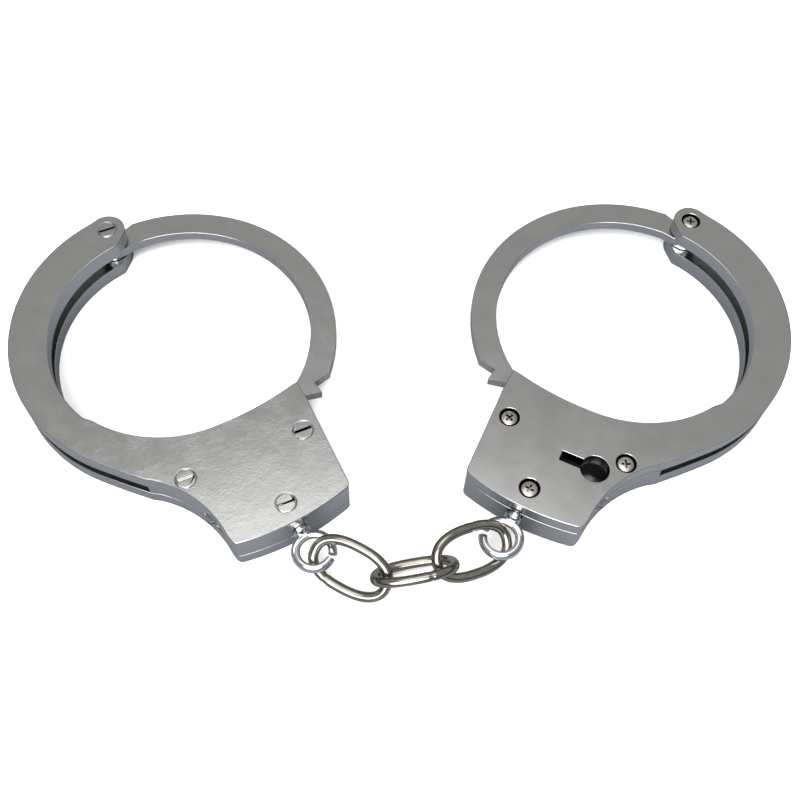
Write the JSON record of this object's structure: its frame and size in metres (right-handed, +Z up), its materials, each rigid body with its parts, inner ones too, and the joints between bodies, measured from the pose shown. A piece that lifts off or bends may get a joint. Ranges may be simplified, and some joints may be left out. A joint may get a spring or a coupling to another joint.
{
  "type": "chain handcuffs",
  "caption": "Chain handcuffs: two cast ring cuffs with ratcheting swing-through bows, key locks and release levers, joined by swivel eyes and oval wire links.",
  "frame": {"origin": "centre of the footprint of the whole set, on the surface it lies on", "axes": "+X from the cuff shown back face up to the cuff shown key side up, +Y from the chain towards the rings, +Z up"},
  "size_m": [0.1976, 0.1164, 0.0121],
  "materials": {
    "casting": "satin nickel plate over a zinc casting, finely brushed faces",
    "cover": "satin nickel plate over a zinc casting, finely brushed faces",
    "bow": "satin nickel plate, bright rims",
    "eye": "bright chrome plate",
    "link": "warm nickel plated steel wire",
    "screw": "plain cross-head screw steel",
    "pawl": "hardened dark steel",
    "lever": "grey plated steel",
    "spring": "spring wire"
  },
  "bodies": {
    "left_cuff": {"left_back_casting": "casting", "left_key_cover": "cover", "left_cover_screw_a": "screw", "left_cover_screw_b": "screw", "left_cover_screw_c": "screw", "left_pivot_screw": "screw", "left_pawl_spring": "spring"},
    "left_bow": {"left_bow": "bow"},
    "left_pawl": {"left_pawl": "pawl"},
    "left_release_lever": {"left_release_lever": "lever"},
    "left_swivel_eye": {"left_swivel_eye": "eye"},
    "right_cuff": {"right_back_casting": "casting", "right_key_cover": "cover", "right_cover_screw_a": "screw", "right_cover_screw_b": "screw", "right_cover_screw_c": "screw", "right_pivot_screw": "screw", "right_pawl_spring": "spring"},
    "right_bow": {"right_bow": "bow"},
    "right_pawl": {"right_pawl": "pawl"},
    "right_release_lever": {"right_release_lever": "lever"},
    "right_swivel_eye": {"right_swivel_eye": "eye"},
    "chain_link_1": {"chain_link_1": "link"},
    "chain_link_2": {"chain_link_2": "link"},
    "chain_link_3": {"chain_link_3": "link"}
  },
  "joints": [
    {"name": "left_bow_swing", "type": "hinge", "parent": "left_cuff", "child": "left_bow", "pos_m": [-0.08014, 0.03727, 0.0057], "axis": [0, 0, 1], "range_deg": [-11.4, 140.6]},
    {"name": "left_lever_press", "type": "hinge", "parent": "left_cuff", "child": "left_release_lever", "pos_m": [-0.03416, -0.04269, 0.0057], "axis": [0, 0, 1], "range_deg": [0, 22], "stiffness_Nm_per_rad": 0.01},
    {"name": "left_pawl_lift", "type": "hinge", "parent": "left_cuff", "child": "left_pawl", "pos_m": [-0.03155, -0.02922, 0.0057], "axis": [0, 0, 1], "range_deg": [-14.08, 0], "deforming": ["left_pawl_spring"]},
    {"name": "right_bow_swing", "type": "hinge", "parent": "right_cuff", "child": "right_bow", "pos_m": [0.07647, 0.05004, 0.0063], "axis": [0, 0, -1], "range_deg": [-11.4, 140.6]},
    {"name": "right_lever_press", "type": "hinge", "parent": "right_cuff", "child": "right_release_lever", "pos_m": [0.04044, -0.03487, 0.0063], "axis": [0, 0, -1], "range_deg": [0, 22], "stiffness_Nm_per_rad": 0.01},
    {"name": "right_pawl_lift", "type": "hinge", "parent": "right_cuff", "child": "right_pawl", "pos_m": [0.03624, -0.02182, 0.0063], "axis": [0, 0, -1], "range_deg": [-14.08, 0], "deforming": ["right_pawl_spring"]},
    {"name": "left_swivel", "type": "hinge", "parent": "left_cuff", "child": "left_swivel_eye", "pos_m": [-0.01817, -0.04794, 0.006], "axis": [-0.5602, 0.8284, 0], "continuous": true},
    {"name": "link_1_swing", "type": "hinge", "parent": "left_swivel_eye", "child": "chain_link_1", "pos_m": [-0.01796, -0.04764, 0.00632], "axis": [0, 0, 1], "range_deg": [-60, 16]},
    {"name": "link_2_swing", "type": "hinge", "parent": "chain_link_1", "child": "chain_link_2", "pos_m": [-0.00127, -0.05525, 0.00494], "axis": [0.3629, 0.6796, 0.6375], "range_deg": [-40, 40]},
    {"name": "link_3_swing", "type": "hinge", "parent": "chain_link_2", "child": "chain_link_3", "pos_m": [0.01405, -0.04967, 0.00694], "axis": [-0.0781, 0.6316, -0.7714], "range_deg": [-30, 40]},
    {"name": "right_eye_swing", "type": "hinge", "parent": "chain_link_3", "child": "right_swivel_eye", "pos_m": [0.02497, -0.04245, 0.006], "axis": [0, 0, -1], "range_deg": [-20, 60]},
    {"name": "right_swivel", "type": "hinge", "parent": "right_swivel_eye", "child": "right_cuff", "pos_m": [0.02497, -0.04245, 0.006], "axis": [0.4565, 0.8897, 0], "continuous": true}
  ],
  "couplings": [
    {"joint": "left_pawl_lift", "follows": "left_lever_press", "ratio": -0.64},
    {"joint": "right_pawl_lift", "follows": "right_lever_press", "ratio": -0.64}
  ]
}
